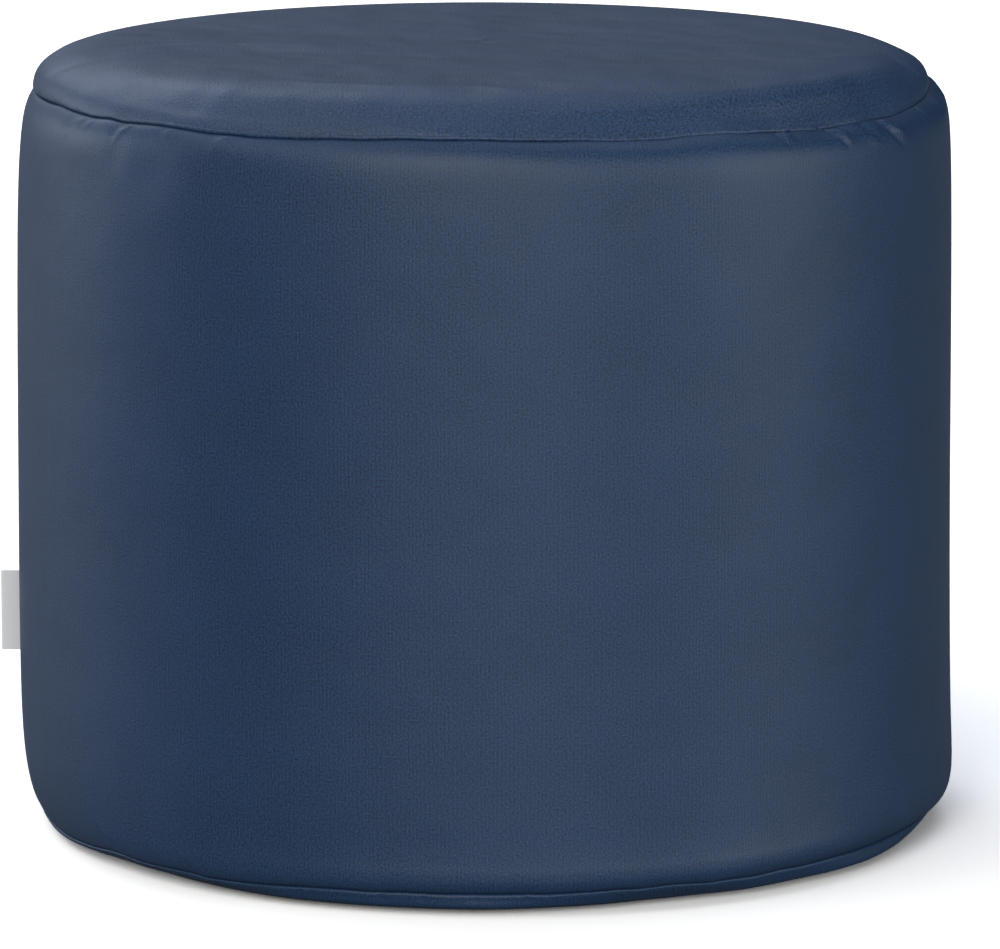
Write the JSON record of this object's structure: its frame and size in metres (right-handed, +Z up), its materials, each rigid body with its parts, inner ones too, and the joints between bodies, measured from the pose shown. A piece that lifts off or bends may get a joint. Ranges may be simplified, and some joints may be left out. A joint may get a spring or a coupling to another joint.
{
  "type": "bean bag footstool",
  "caption": "Round drum-shaped bead-filled footstool in navy woven cloth, with a domed top panel, a tall side band and a bare label tab in its upright seam.",
  "frame": {"origin": "on the drum's axis, at the floor under the bottom panel", "axes": "+Z up along the drum's axis, -Y towards the front, -X towards the upright seam and its label"},
  "size_m": [0.5218, 0.5099, 0.4289],
  "materials": {
    "side_cloth": "navy woven cloth, fine upright rib, soft pale sheen",
    "top_cloth": "the same navy woven cloth, soft pale sheen",
    "bottom_cloth": "the same navy woven cloth, in shade",
    "label_tape": "pale grey woven tape, matte"
  },
  "bodies": {
    "root": {"side_band": "side_cloth", "top_panel": "top_cloth", "bottom_panel": "bottom_cloth", "side_label": "label_tape"}
  },
  "joints": []
}
